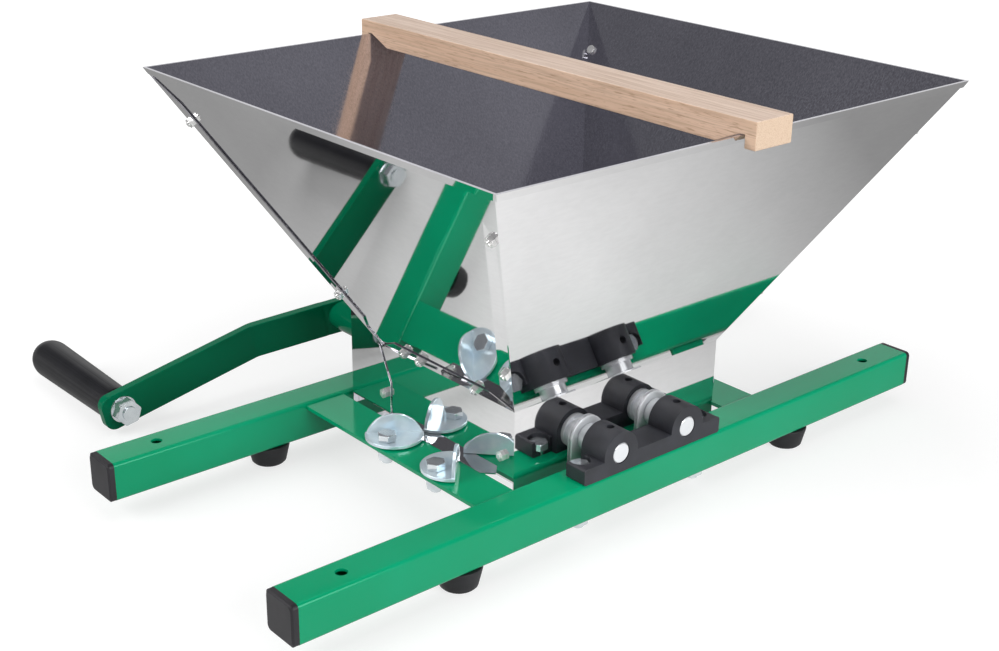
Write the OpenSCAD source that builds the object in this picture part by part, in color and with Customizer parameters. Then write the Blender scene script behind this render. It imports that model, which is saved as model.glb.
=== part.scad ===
// Hand cranked apple scratter: a folded steel hopper over two toothed rollers on a frame of square tube.
// The origin is the middle of the four bench holes, on the underside of the rails. X runs along the rails,
// Y runs from the near rail to the far one, and Z is up.

/* [Frame] */
// Length of each rail over its end caps
rail_len = 624; // [560:1:700]
// Outer side of the square rail tube
rail_w = 30; // [28:1:34]
// Wall of the rail tube
rail_wall = 2; // [1.5:0.1:3]
// Clear gap between the two rails
rail_gap = 206; // [204:1:216]
// Distance between the bench holes along a rail
bench_pitch = 530; // [500:1:540]
// Diameter of the bench holes
bench_hole_d = 8.5; // [6.5:0.5:10.5]
// Thickness of an end cap's head
cap_head = 5; // [3:0.5:8]
// Depth of an end cap's plug
cap_plug = 16; // [10:1:24]
// Distance between the rubber feet along a rail
foot_pitch = 340; // [330:1:400]
// Diameter of a foot at the rail
foot_top_d = 33; // [28:1:36]
// Diameter of a foot at the floor
foot_base_d = 27; // [22:1:30]
// Height of a foot
foot_h = 17; // [16:1:30]
// Width of each deck plate
deck_w = 35; // [32:1:40]
// Thickness of the deck plates
deck_t = 3; // [2:0.5:4]
// Depth of the deck's top below the rails' top
deck_drop = 2; // [1:0.5:4]

/* [Hopper] */
// Thickness of the hopper's sheet steel
sheet_t = 1; // [0.8:0.1:1.5]
// Width of the neck along the rails, over the side sheets
neck_x = 204; // [190:1:206]
// Depth of the neck across the rails, with its gear box
neck_y = 192; // [184:1:196]
// Distance of the wall between rollers and gears from the neck's middle
far_wall_y = 58; // [52:1:60]
// Height of the fold between neck and funnel
fold_z = 84; // [76:1:100]
// Height of the rim
rim_z = 288; // [240:1:320]
// Width of the rim along the rails
rim_x = 446; // [400:1:480]
// Depth of the rim across the rails
rim_y = 394; // [350:1:420]
// Offset of the rim from the neck along the rails
rim_shift_x = 9; // [-15:1:15]
// Offset of the rim from the neck across the rails
rim_shift_y = -6; // [-15:1:15]
// Width of the corner flanges
flange_w = 12; // [9:0.5:14]
// Height of the gear box's sides
box_z = 104; // [96:1:112]
// Overlap of the gear box's sides on the neck's walls
box_lap = 12; // [10:0.5:15]
// Height of the folded hem at the rim
hem_h = 5; // [3:0.5:8]
// Height of the lip by which a side wall meets the funnel
lip_h = 9; // [8:0.5:12]
// Width of the foot by which a side wall stands on its deck plate
toe_w = 9; // [6:0.5:11]
// Depth of the near and far walls below the rails' top
wall_drop = 8; // [4:1:12]
// Thread diameter of the hopper's small screws
hopper_screw_d = 4; // [3:0.5:5]

/* [Wooden bar] */
// Width of the bar
bar_w = 35; // [30:1:60]
// Thickness of the bar
bar_t = 19; // [16:1:30]
// Height of the bar's top above the rim
bar_rise = 10.5; // [6:0.5:12]
// Length of the bar past the rim at each end
bar_over = 11.5; // [8:0.5:30]
// Offset of the bar's middle from the neck's middle
bar_shift = 5; // [-10:0.5:20]
// Length of the slanted cuts in the bar's underside, inside the rims
bar_cut = 20; // [10:1:30]

/* [Rollers] */
// Distance between the two roller shafts
shaft_pitch = 68; // [68:1:72]
// Height of the shafts' axes
shaft_z = 45; // [44:1:50]
// Diameter of the shafts
shaft_d = 16; // [12:1:18]
// Diameter of a roller's core
core_d = 50; // [44:1:52]
// Number of blades on each roller
blades = 8; // [5:1:10]
// Height by which a blade stands out of its core
blade_out = 6.5; // [3:0.5:7]
// Thickness of a blade
blade_t = 2.5; // [2:0.1:3]
// Depth of a blade in its slot
blade_in = 6; // [4:0.5:8]
// Number of teeth along a blade
blade_teeth = 11; // [8:1:18]
// Clearance between a roller's ends and the neck's walls
roller_end_gap = 2; // [1:0.5:5]

/* [Bearing blocks] */
// Length of a block along the rails
block_len = 139; // [134:1:150]
// Height of a block's shoulders above the rails
shoulder_h = 12.5; // [10:0.5:14]
// Depth of the shoulders, across the rails
shoulder_w = 19; // [18:0.5:22]
// Outer diameter of a bearing barrel
barrel_d = 33; // [30:0.5:36]
// Length of a bearing barrel
barrel_len = 24; // [21:0.5:25]
// Distance between the bolts of a block
block_bolt_pitch = 120; // [117:1:124]
// Diameter of the block bolts
block_bolt_d = 8; // [6:1:8]
// Running clearance of a shaft in its barrel, on the radius
run_gap = 0.05; // [0.03:0.01:0.08]

/* [Gears] */
// Number of teeth of each gear
gear_teeth = 17; // [17:1:24]
// Width of a gear's face
gear_w = 12; // [8:1:16]
// Gap between the far wall's seals and the gears
gear_gap = 2; // [1:0.5:4]
// Play between the teeth, along the pitch circle
backlash = 0.5; // [0.3:0.1:0.8]
// Diameter of a gear's hub
gear_hub_d = 30; // [26:1:34]

/* [Crank] */
// Distance from the shaft to the grip
crank_r = 204; // [190:1:220]
// Distance from the shaft to the arm's bend
crank_bend_r = 76; // [60:1:90]
// Sideways offset that the bend gives the arm's outer part
crank_offset = 23; // [16:1:30]
// Height of the crank's flat bar
arm_h = 30; // [24:1:36]
// Thickness of the crank's flat bar
arm_t = 8; // [6:0.5:10]
// Outer diameter of the crank's boss
boss_d = 28; // [24:1:32]
// Length of the crank's boss
boss_len = 77; // [70:1:90]
// Diameter of the grip at the arm
grip_d0 = 29; // [26:1:32]
// Diameter of the grip near its round end
grip_d1 = 33; // [30:1:36]
// Length of the grip
grip_len = 139; // [110:1:160]
// Thread diameter of the grip's bolt
grip_bolt_d = 12; // [8:1:12]
// Height of the grip's axis at rest
grip_z = 4; // [1:0.5:10]

/* [Clamp discs] */
// Diameter of a clamp disc before its tab is bent up
disc_d = 44; // [40:1:48]
// Thickness of a clamp disc
disc_t = 2.5; // [2:0.1:3]
// Distance of the bend line from the disc's middle
disc_bend = 5; // [4:0.5:8]
// Distance of the bolt from the bend line
disc_bolt_off = 15; // [12:0.5:17]
// Thread diameter of the clamp bolts
clamp_bolt_d = 8; // [6:1:8]
// Distance of the clamp bolts from the neck's side walls
clamp_out = 32.5; // [31:0.5:34]

/* [Hidden] */

$fn = 64;
// Length by which every cut runs past the faces that it opens
over = 1;
// Facets of the round ends inside a hull
hull_fn = 32;
// Steps of an arc that is drawn with points
arc_steps = 8;
// Slack that keeps faces of different moving pieces apart
slack = 0.3;

// Frame
rail_y = rail_gap / 2 + rail_w / 2;
rail_in_y = rail_gap / 2;
rail_out_y = rail_gap / 2 + rail_w;
tube_len = rail_len - 2 * cap_head;
rail_bore = rail_w - 2 * rail_wall;
rail_round = 3;
cap_round = 3.5;
foot_screw_d = 5;
foot_pocket_d = 12;
foot_washer_gap = 0.5;
foot_pocket_h = 9;
deck_z = rail_w - deck_drop;
deck_gap = 6.5;
deck_in_x = neck_x / 2 + deck_gap;
deck_out_x = deck_in_x + deck_w;

// Hopper sheets: a funnel panel lies inside the corner flanges, and the side walls' lips do as well
neck_in_x = neck_x / 2;
neck_in_y = neck_y / 2;
funnel_h = rim_z - fold_z;
rim_left = rim_x / 2 - rim_shift_x;
rim_right = rim_x / 2 + rim_shift_x;
rim_near = rim_y / 2 - rim_shift_y;
rim_far = rim_y / 2 + rim_shift_y;
slope_left = (rim_left - neck_in_x) / funnel_h;
slope_right = (rim_right - neck_in_x) / funnel_h;
slope_near = (rim_near - neck_in_y) / funnel_h;
slope_far = (rim_far - far_wall_y) / funnel_h;
wall_bottom_z = rail_w - wall_drop;
sheet_gap = 0.2;
// Shares of the funnel's slant height at which the corner screws sit
corner_screw_shares = [0.2, 0.82];
// Shares of the neck's depth at which the lips' bolts sit
lip_screw_shares = [-0.3, 0.03, 0.13];
// Shares of the neck wall's height at which the neck flange's screws sit
neck_screw_shares = [0.3];
flange_end_share = 0.06;
// Widths of the hidden flanges by which the near and far walls meet the neck's side walls, and the
// distance of a screw from each wall
inner_flange_ws = [20, 15];
neck_screw_ins = [12, 6];
// Share of the lip's height at which its bolts sit
lip_screw_share = 0.6;
// Share of the gear box's own height at which its sides start to slant back, and its gap to the funnel
box_bend_share = 0.48;
box_gap = 2;
screw_head_d = 7.6;
screw_head_h = 2.2;
nut_af = 7;
nut_h = 3.2;
screw_end = 1.2;
screw_hole_slack = 0.15;

// Rollers, seals and blocks
// Share of a blade's height at which its teeth start, and shares of the pitch at a tooth's four corners
blade_root_share = 0.35;
tooth_shares = [0.08, 0.35, 0.55, 0.92];
shaft_x = shaft_pitch / 2;
roller_far_y = far_wall_y - sheet_t - roller_end_gap;
roller_len = roller_far_y + neck_in_y - sheet_t - roller_end_gap;
shaft_near_y = -rail_out_y;
barrel_in_y = rail_out_y - barrel_len;
slot_gap = 0.5;
slot_side_gap = 2.5;
slot_d = shaft_d + 2 * slot_side_gap;
seal_disc_d = 32;
seal_disc_t = 2;
seal_y = neck_in_y + sheet_gap;
spacer_d = 21;
spacer_collar_d = 26;
spacer_collar_w = 3;
spacer_y0 = seal_y + seal_disc_t + slack;
spacer_y1 = barrel_in_y - slack;
web_h = 13;
bolt_head_af_share = 1.62;
bolt_head_h_share = 0.66;
block_pocket_d = 16;
block_pocket_h = 8;
block_round = 2;
oil_hole_d = 6;
oil_hole_y = rail_out_y - barrel_len / 2;
bolt_slack = 0.25;
bolt_past = 3;
washer_t = 1.5;
washer_d_share = 2;
nut_h_share = 0.8;

// Gears: a full depth involute profile on the shafts' centre distance
gear_module = shaft_pitch / gear_teeth;
gear_y = far_wall_y + sheet_gap + seal_disc_t + gear_gap;
gear_hub_len = 20;
pressure_angle = 20;
addendum_share = 0.94;
dedendum_share = 1.2;
flank_steps = 5;
gear_pitch_r = shaft_pitch / 2;
gear_base_r = gear_pitch_r * cos(pressure_angle);
gear_tip_r = gear_pitch_r + addendum_share * gear_module;
gear_root_r = gear_pitch_r - dedendum_share * gear_module;
root_flare = 1;
set_screw_d = 6;

// Crank
boss_gap = 1;
boss_y0 = rail_out_y + boss_gap;
boss_y1 = boss_y0 + boss_len;
arm_in_y = boss_y1;
arm_out_y = arm_in_y + crank_offset;
hub_flat_past = 2;
hub_flat = boss_d / 2 + hub_flat_past;
bend_angle = atan2(crank_offset, crank_bend_r - hub_flat);
crank_angle = asin((shaft_z - grip_z) / crank_r);
arm_end = 17;
arm_round = 9;
bend_round = 14;
grip_bore_slack = 0.05;
grip_end_gap = 0.4;
grip_bolt_head_d = 20;
grip_bolt_head_h = 7;
grip_floor = 9;
grip_nut_af_share = 1.58;
grip_nut_h_share = 0.83;
grip_bolt_end = 1.5;
grip_washer_share = 1.85;
grip_edge = 2;
grip_taper_share = 0.86;

// Clamp discs
clamp_x = neck_in_x + clamp_out;
clamp_near_y = -48;
clamp_far_y = 10;
// Offset of each disc's middle from its bolt, along its bend: they are stamped in left and right hands
disc_sides = [6, -6, -6, 6];
// Turn of each disc, from the direction in which its flat part points straight at the near rail
disc_turns = [-34, 226, 34, 134];
clamp_xs = [-clamp_x, -clamp_x, clamp_x, clamp_x];
clamp_ys = [clamp_far_y, clamp_near_y, clamp_far_y, clamp_near_y];
disc_z = deck_z + sheet_t + sheet_gap;

// A hexagonal prism by its width across flats
module hexagon(across, height) {
    cylinder(d = across / cos(30), h = height, $fn = 6);
}

// A bolt along +Z with its hexagonal head under z = 0
module hex_bolt(thread_d, shank) {
    head_h = bolt_head_h_share * thread_d;
    translate([0, 0, -head_h]) hexagon(bolt_head_af_share * thread_d, head_h);
    cylinder(d = thread_d, h = shank);
}

// A nut with its washer, both over z = 0
module nut_on_washer(thread_d) {
    difference() {
        union() {
            cylinder(d = washer_d_share * thread_d, h = washer_t);
            translate([0, 0, washer_t])
                hexagon(bolt_head_af_share * thread_d, nut_h_share * thread_d);
        }
        translate([0, 0, -over])
            cylinder(d = thread_d, h = washer_t + nut_h_share * thread_d + 2 * over);
    }
}

// One rail of square tube, from its own middle, with its holes cut through both walls
module rail_tube() {
    difference() {
        translate([-tube_len / 2, 0, 0]) rotate([90, 0, 90]) linear_extrude(tube_len)
            difference() {
                rounded_square(rail_w, rail_w, rail_round);
                translate([0, rail_wall])
                    rounded_square(rail_bore, rail_bore, rail_round - rail_wall);
            }
        for (x = [-bench_pitch / 2, bench_pitch / 2])
            translate([x, 0, -over]) cylinder(d = bench_hole_d, h = rail_w + 2 * over);
        for (x = [-block_bolt_pitch / 2, block_bolt_pitch / 2])
            translate([x, 0, -over]) cylinder(d = block_bolt_d + 2 * bolt_slack, h = rail_w + 2 * over);
        for (x = [-foot_pitch / 2, foot_pitch / 2])
            translate([x, 0, -over])
                cylinder(d = foot_screw_d, h = rail_wall + 2 * over);
    }
}

// A square with round corners, centred along its first side and standing on its second
module rounded_square(width, height, radius) {
    translate([-width / 2 + radius, 0]) square([width - 2 * radius, height]);
    translate([-width / 2, radius]) square([width, height - 2 * radius]);
    for (x = [-1, 1], y = [radius, height - radius])
        translate([x * (width / 2 - radius), y]) circle(r = radius, $fn = hull_fn);
}

module near_rail() {
    color("#0e7a43") translate([0, -rail_y, 0]) rail_tube();
}

module far_rail() {
    color("#0e7a43") translate([0, rail_y, 0]) rail_tube();
}

// Moulded caps: a bevelled head over the tube's end and a hollow plug inside it
module rail_end_caps() {
    color("#1c1d1f")
        for (side_x = [-1, 1], side_y = [-1, 1])
            translate([side_x * tube_len / 2, side_y * rail_y, 0])
                rotate([90, 0, side_x * 90]) rail_end_cap();
}

module rail_end_cap() {
    plug_w = rail_bore;
    plug_wall = 3;
    bevel = 1.5;
    linear_extrude(cap_head - bevel) rounded_square(rail_w, rail_w, cap_round);
    translate([0, 0, cap_head - bevel]) hull() {
        linear_extrude(bevel / 4) rounded_square(rail_w, rail_w, cap_round);
        translate([0, bevel, bevel * 3 / 4]) linear_extrude(bevel / 4)
            rounded_square(rail_w - 2 * bevel, rail_w - 2 * bevel, cap_round);
    }
    translate([0, rail_wall, -cap_plug]) difference() {
        linear_extrude(cap_plug) rounded_square(plug_w, plug_w, rail_round - rail_wall);
        translate([0, plug_wall, -over]) linear_extrude(cap_plug)
            rounded_square(plug_w - 2 * plug_wall, plug_w - 2 * plug_wall, rail_round - rail_wall);
    }
}

// Turned rubber feet with a recess for the screw's head
module rubber_feet() {
    color("#222325") at_feet() difference() {
        translate([0, 0, -foot_h]) rotate_extrude() foot_profile();
        translate([0, 0, -foot_h - over]) cylinder(d = foot_pocket_d, h = foot_pocket_h + over);
        translate([0, 0, -foot_h]) cylinder(d = foot_screw_d, h = foot_h + over);
    }
}

module foot_profile() {
    edge = 2;
    polygon([[0, 0], [foot_base_d / 2 - edge, 0], [foot_base_d / 2, edge],
             [foot_top_d / 2, foot_h - edge], [foot_top_d / 2, foot_h], [0, foot_h]]);
}

module at_feet() {
    for (x = [-foot_pitch / 2, foot_pitch / 2], y = [-rail_y, rail_y]) translate([x, y, 0]) children();
}

module foot_screws() {
    washer_h = 1.5;
    head_h = 3.5;
    seat = -foot_h + foot_pocket_h;
    color("#b9bcc0") at_feet() {
        translate([0, 0, seat]) cylinder(d = foot_screw_d, h = -seat + rail_wall + foot_screw_d);
        translate([0, 0, seat - washer_h]) cylinder(d = foot_pocket_d - 2 * foot_washer_gap, h = washer_h);
        translate([0, 0, seat - washer_h - head_h]) hexagon(foot_screw_d * bolt_head_af_share, head_h);
    }
}

// Deck plates, welded between the rails, with a hole for each clamp bolt
module deck_plate(side) {
    color("#0e7a43") difference() {
        translate([side > 0 ? deck_in_x : -deck_out_x, -rail_in_y, deck_z - deck_t])
            cube([deck_w, rail_gap, deck_t]);
        for (y = [clamp_near_y, clamp_far_y])
            translate([side * clamp_x, y, deck_z - deck_t - over])
                cylinder(d = clamp_bolt_d + 2 * bolt_slack, h = deck_t + 2 * over);
    }
}

module left_deck_plate() {
    deck_plate(-1);
}

module right_deck_plate() {
    deck_plate(1);
}

// Extra width that a slanted sheet takes along the level, for a sheet of thickness t and a slope k
function level(t, k) = t * sqrt(1 + k * k);

// Cross section of a sheet that stands to the fold and then slants outwards to the rim. Its inner and
// outer faces lie at the depths t0 and t1 outside the line that starts at half and slants by k.
module bent_section(half, k, t0, t1, z0, z1) {
    turn0 = z_turn(t0, k);
    turn1 = z_turn(t1, k);
    polygon([[half + t0, z0], [half + t1, z0], [half + t1, turn1],
             [half + level(t1, k) + (z1 - fold_z) * k, z1],
             [half + level(t0, k) + (z1 - fold_z) * k, z1], [half + t0, turn0]]);
}

// Height at which the upright and slanted faces at the depth t meet
function z_turn(t, k) = fold_z - (level(t, k) - t) / k;

// Cross section of a flat slanted strip alone, between two heights
module slant_section(half, k, t0, t1, z0, z1) {
    polygon([[half + level(t0, k) + (z0 - fold_z) * k, z0], [half + level(t1, k) + (z0 - fold_z) * k, z0],
             [half + level(t1, k) + (z1 - fold_z) * k, z1], [half + level(t0, k) + (z1 - fold_z) * k, z1]]);
}

// Lays a section drawn as distance and height across the rails: side is -1 near and 1 far
module across(side, length) {
    if (side < 0)
        translate([length / 2, 0, 0]) rotate([90, 0, -90]) linear_extrude(length) children();
    else
        translate([-length / 2, 0, 0]) rotate([90, 0, 90]) linear_extrude(length) children();
}

// Lays a section drawn as distance and height along the rails: side is -1 left and 1 right
module along(side, length) {
    if (side < 0)
        translate([0, -length / 2, 0]) rotate([90, 0, 180]) linear_extrude(length) children();
    else
        translate([0, length / 2, 0]) rotate([90, 0, 0]) linear_extrude(length) children();
}

// Front outline of a near or far panel, drawn in X and Z: neck below the fold, funnel above it
module panel_outline() {
    out_l = level(sheet_t, slope_left);
    out_r = level(sheet_t, slope_right);
    neck_half = neck_in_x + sheet_t;
    polygon([[-neck_half, wall_bottom_z], [neck_half, wall_bottom_z], [neck_half, fold_z - slot_gap],
             [neck_in_x + out_r, fold_z], [rim_right + out_r, rim_z], [-rim_left - out_l, rim_z],
             [-neck_in_x - out_l, fold_z], [-neck_half, fold_z - slot_gap]]);
}

// Distance of a wall's outer face from the neck's middle: side is -1 near and 1 far
function wall_y(side) = side < 0 ? neck_in_y : far_wall_y;

// Slots that let a wall whose outer face lies at y drop over the shafts
module shaft_slots(y) {
    for (x = [-shaft_x, shaft_x]) translate([x, y, shaft_z]) rotate([90, 0, 0])
        translate([0, 0, -2 * sheet_t]) {
            cylinder(d = slot_d, h = 4 * sheet_t);
            translate([-slot_d / 2, -shaft_z, 0]) cube([slot_d, shaft_z, 4 * sheet_t]);
        }
}

// A near or far panel with its hem and its four corner flanges
module end_panel(side, k_end) {
    difference() {
        union() {
            intersection() {
                across(side, 2 * rim_x)
                    bent_section(wall_y(side), k_end, -sheet_t, 0, wall_bottom_z, rim_z);
                translate([0, rim_y, 0]) rotate([90, 0, 0]) linear_extrude(2 * rim_y) panel_outline();
            }
            intersection() {
                across(side, 2 * rim_x)
                    slant_section(wall_y(side), k_end, -sheet_t, sheet_t, rim_z - hem_h, rim_z);
                translate([0, rim_y, 0]) rotate([90, 0, 0]) linear_extrude(2 * rim_y) panel_outline();
            }
            for (side_x = [-1, 1]) corner_flanges(side, side_x, k_end);
        }
        shaft_slots(side * wall_y(side));
        corner_screw_places(side) screw_hole();
        neck_screw_places(side) screw_hole();
    }
}

// Flanges of a near or far panel: one over the slanted side panel, one inside the neck's side wall
module corner_flanges(side, side_x, k_end) {
    k_side = side_x < 0 ? slope_left : slope_right;
    z0 = fold_z + flange_end_share * funnel_h;
    inner_w = side < 0 ? inner_flange_ws[0] : inner_flange_ws[1];
    intersection() {
        along(side_x, 2 * rim_y) slant_section(neck_in_x, k_side, 0, sheet_t, fold_z, rim_z);
        across(side, 2 * rim_x)
            polygon([for (p = [[0, z0], [-flange_w, z0 + flange_w], [-flange_w, rim_z - 2 * flange_w],
                               [0, rim_z - flange_w / 2]])
                     [wall_y(side) + (p[1] - fold_z) * k_end + p[0], p[1]]]);
    }
    translate([side_x > 0 ? neck_in_x - sheet_t : -neck_in_x,
               side > 0 ? far_wall_y - inner_w : -neck_in_y, rail_w + slot_gap])
        cube([sheet_t, inner_w, fold_z - flange_w - rail_w - slot_gap]);
}

// Places of the corner screws of a near or far panel, each turned so that Z leaves the side panel
module corner_screw_places(side) {
    for (side_x = [-1, 1], share = corner_screw_shares) {
        k_side = side_x < 0 ? slope_left : slope_right;
        k_end = side < 0 ? slope_near : slope_far;
        z = fold_z + share * funnel_h;
        y = wall_y(side) + (z - fold_z) * k_end - flange_w / 2;
        x = neck_in_x + (z - fold_z) * k_side;
        translate([side_x * x, side * y, z]) rotate([0, side_x * (90 + atan(k_side)), 0]) children();
    }
}

// Places of the screws in the neck's flanges
module neck_screw_places(side) {
    screw_in = side < 0 ? neck_screw_ins[0] : neck_screw_ins[1];
    for (side_x = [-1, 1], share = neck_screw_shares)
        translate([side_x * neck_in_x, side * (wall_y(side) - screw_in),
                   rail_w + share * (fold_z - rail_w)])
            rotate([0, side_x * 90, 0]) children();
}

// Places of the bolts in a side wall's lip
module lip_screw_places(side_x) {
    k_side = side_x < 0 ? slope_left : slope_right;
    z = fold_z + lip_screw_share * lip_h;
    for (share = lip_screw_shares)
        translate([side_x * (neck_in_x + (z - fold_z) * k_side), share * neck_y, z])
            rotate([0, side_x * (90 + atan(k_side)), 0]) children();
}

module screw_hole() {
    translate([0, 0, -4 * sheet_t]) cylinder(d = hopper_screw_d + 2 * screw_hole_slack, h = 8 * sheet_t);
}

module hopper_near_panel() {
    color("#c9cbce") end_panel(-1, slope_near);
}

module hopper_far_panel() {
    color("#c9cbce") end_panel(1, slope_far);
}

// A flat slanted side panel, cut to the inside of the near and far panels
module side_panel(side_x) {
    k_side = side_x < 0 ? slope_left : slope_right;
    in_near = level(sheet_t, slope_near);
    in_far = level(sheet_t, slope_far);
    difference() {
        intersection() {
            union() {
                along(side_x, 2 * rim_y) slant_section(neck_in_x, k_side, -sheet_t, 0, fold_z, rim_z);
                along(side_x, 2 * rim_y)
                    slant_section(neck_in_x, k_side, -sheet_t, sheet_t, rim_z - hem_h, rim_z);
            }
            translate([-rim_x, 0, 0]) rotate([90, 0, 90]) linear_extrude(2 * rim_x)
                polygon([[-neck_in_y + in_near, fold_z], [far_wall_y - in_far, fold_z],
                         [rim_far - in_far, rim_z], [-rim_near + in_near, rim_z]]);
        }
        for (side = [-1, 1]) corner_screw_places(side) screw_hole();
        lip_screw_places(side_x) screw_hole();
    }
}

module hopper_left_panel() {
    color("#b9bbbe") side_panel(-1);
}

module hopper_right_panel() {
    color("#b9bbbe") side_panel(1);
}

// A side wall of the neck, with a lip under the slanted panel and a toe on the deck plate
module neck_side_wall(side_x) {
    k_side = side_x < 0 ? slope_left : slope_right;
    near_end = -neck_in_y + sheet_t;
    far_end = far_wall_y - sheet_t;
    lip_in = flange_w + lip_h;
    lip_z = fold_z + lip_h;
    z_end = z_turn(sheet_t, k_side);
    difference() {
        union() {
            intersection() {
                along(side_x, neck_y) bent_section(neck_in_x, k_side, 0, sheet_t, deck_z, lip_z);
                translate([-neck_x, 0, 0]) rotate([90, 0, 90]) linear_extrude(2 * neck_x)
                    polygon([[near_end, deck_z], [far_end, deck_z], [far_end, z_end],
                             [far_end - lip_in, lip_z], [near_end + lip_in, lip_z], [near_end, z_end]]);
            }
            translate([side_x > 0 ? neck_in_x : -neck_in_x - toe_w, 0, deck_z])
                linear_extrude(sheet_t)
                    toe_outline(side_x);
        }
        lip_screw_places(side_x) screw_hole();
        for (side = [-1, 1]) neck_screw_places(side) screw_hole();
    }
}

// Toe of a side wall, cut slantwise at both ends, between the near wall's corner and the gear box
module toe_outline(side_x) {
    near_end = -neck_in_y + 2 * toe_w;
    far_end = far_wall_y - box_lap - sheet_t;
    wall_at = side_x > 0 ? 0 : toe_w;
    tip_at = side_x > 0 ? toe_w : 0;
    polygon([[wall_at, near_end], [wall_at, far_end], [tip_at, far_end - toe_w], [tip_at, near_end + toe_w]]);
}

module left_neck_wall() {
    color("#c2c4c7") neck_side_wall(-1);
}

module right_neck_wall() {
    color("#c2c4c7") neck_side_wall(1);
}

// Box of one folded sheet round the gears: its sides lap over the neck's walls and are cut back along the
// slanted far panel, and its far wall has slots for the shafts
module gear_box() {
    box_x = neck_in_x + 2 * sheet_t;
    low = rail_w + slot_gap;
    bend_z = low + box_bend_share * (fold_z - low);
    lap_y = far_wall_y - box_lap;
    top_y = far_wall_y + box_gap + (box_z - fold_z) * slope_far;
    color("#c4c6c9") difference() {
        translate([-box_x, 0, 0]) rotate([90, 0, 90]) linear_extrude(2 * box_x)
            polygon([[lap_y, low], [lap_y, bend_z], [far_wall_y + box_gap, fold_z], [top_y, box_z],
                     [neck_in_y, box_z], [neck_in_y, wall_bottom_z], [neck_in_y - sheet_t, wall_bottom_z],
                     [neck_in_y - sheet_t, low]]);
        translate([-neck_in_x - sheet_t, 0, 0])
            cube([neck_x + 2 * sheet_t, neck_in_y - sheet_t, box_z + over]);
        shaft_slots(neck_in_y);
        neck_screw_places(1) screw_hole();
    }
}

// A button headed screw from the inside of the hopper: head under z = 0, shank up through the sheets
module hopper_screw(inner_depth, outer_depth) {
    translate([0, 0, inner_depth - screw_head_h]) cylinder(d = screw_head_d, h = screw_head_h);
    translate([0, 0, inner_depth])
        cylinder(d = hopper_screw_d, h = outer_depth - inner_depth + nut_h + screw_end);
}

module hopper_screws() {
    color("#d8dadd") {
        for (side = [-1, 1]) {
            corner_screw_places(side) hopper_screw(-sheet_t, sheet_t);
            neck_screw_places(side) hopper_screw(-sheet_t, side < 0 ? sheet_t : 2 * sheet_t);
        }
        for (side_x = [-1, 1]) lip_screw_places(side_x) hopper_screw(-sheet_t, sheet_t);
    }
}

module hopper_nut(outer_depth) {
    translate([0, 0, outer_depth]) difference() {
        hexagon(nut_af, nut_h);
        translate([0, 0, -over]) cylinder(d = hopper_screw_d, h = nut_h + 2 * over);
    }
}

module hopper_nuts() {
    color("#d8dadd") {
        for (side = [-1, 1]) {
            corner_screw_places(side) hopper_nut(sheet_t);
            neck_screw_places(side) hopper_nut(side < 0 ? sheet_t : 2 * sheet_t);
        }
        for (side_x = [-1, 1]) lip_screw_places(side_x) hopper_nut(sheet_t);
    }
}

// The bar's side outline in Y and Z: kerfs over the rims, with slanted cuts inside them
module bar_outline() {
    top = rim_z + bar_rise;
    low = top - bar_t;
    kerf = 4 * sheet_t;
    inside = 2 * sheet_t;
    far_end = rim_far + bar_over;
    near_end = rim_near + bar_over;
    far_low = rim_far - kerf / 2 - bar_cut;
    near_low = rim_near - kerf / 2 - bar_cut;
    kerf_top = rim_z + slack;
    polygon([[-near_end, top], [-near_end, low], [-rim_near - inside, low], [-rim_near - inside, kerf_top],
             [-rim_near + kerf / 2, kerf_top], [-near_low, low], [far_low, low],
             [rim_far - kerf / 2, kerf_top], [rim_far + inside, kerf_top], [rim_far + inside, low],
             [far_end, low], [far_end, top]]);
}

module wooden_bar() {
    color("#dcc3a5") translate([bar_shift - bar_w / 2, 0, 0]) rotate([90, 0, 90])
        linear_extrude(bar_w) bar_outline();
}

// A bearing block stands on its rail. It is drawn for the near rail, with its open face towards -Y.
module bearing_block() {
    shoulder_y = -rail_out_y;
    difference() {
        union() {
            translate([0, shoulder_y + shoulder_w, rail_w]) rotate([90, 0, 0]) linear_extrude(shoulder_w)
                rounded_square(block_len, shoulder_h, block_round);
            translate([-shaft_x, shoulder_y, rail_w]) cube([shaft_pitch, barrel_len, web_h]);
            for (x = [-shaft_x, shaft_x]) {
                translate([x, shoulder_y, shaft_z]) rotate([-90, 0, 0])
                    cylinder(d = barrel_d, h = barrel_len);
                translate([x - barrel_d / 2, shoulder_y, rail_w])
                    cube([barrel_d, barrel_len, shaft_z - rail_w]);
            }
        }
        translate([-block_len, shoulder_y - over, 0]) cube([2 * block_len, barrel_len + 2 * over, rail_w]);
        for (x = [-shaft_x, shaft_x]) {
            translate([x, shoulder_y - over, shaft_z]) rotate([-90, 0, 0])
                cylinder(d = shaft_d + 2 * run_gap, h = barrel_len + 2 * over);
            translate([x, -oil_hole_y, shaft_z]) cylinder(d = oil_hole_d, h = barrel_d);
        }
        for (x = [-block_bolt_pitch / 2, block_bolt_pitch / 2])
            translate([x, -rail_y, rail_w - over]) {
                cylinder(d = block_bolt_d + 2 * bolt_slack, h = shoulder_h + 2 * over);
                translate([0, 0, over + shoulder_h - block_pocket_h])
                    cylinder(d = block_pocket_d, h = block_pocket_h + over);
            }
    }
}

module near_bearing_block() {
    color("#2b2c2f") bearing_block();
}

module far_bearing_block() {
    color("#2b2c2f") mirror([0, 1, 0]) bearing_block();
}

module at_block_bolts() {
    for (x = [-block_bolt_pitch / 2, block_bolt_pitch / 2], y = [-rail_y, rail_y])
        translate([x, y, 0]) children();
}

module block_bolts() {
    seat = rail_w + shoulder_h - block_pocket_h;
    nut_len = washer_t + nut_h_share * block_bolt_d;
    color("#c4c7ca") at_block_bolts() translate([0, 0, seat]) mirror([0, 0, 1])
        hex_bolt(block_bolt_d, seat + nut_len + bolt_past);
}

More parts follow.
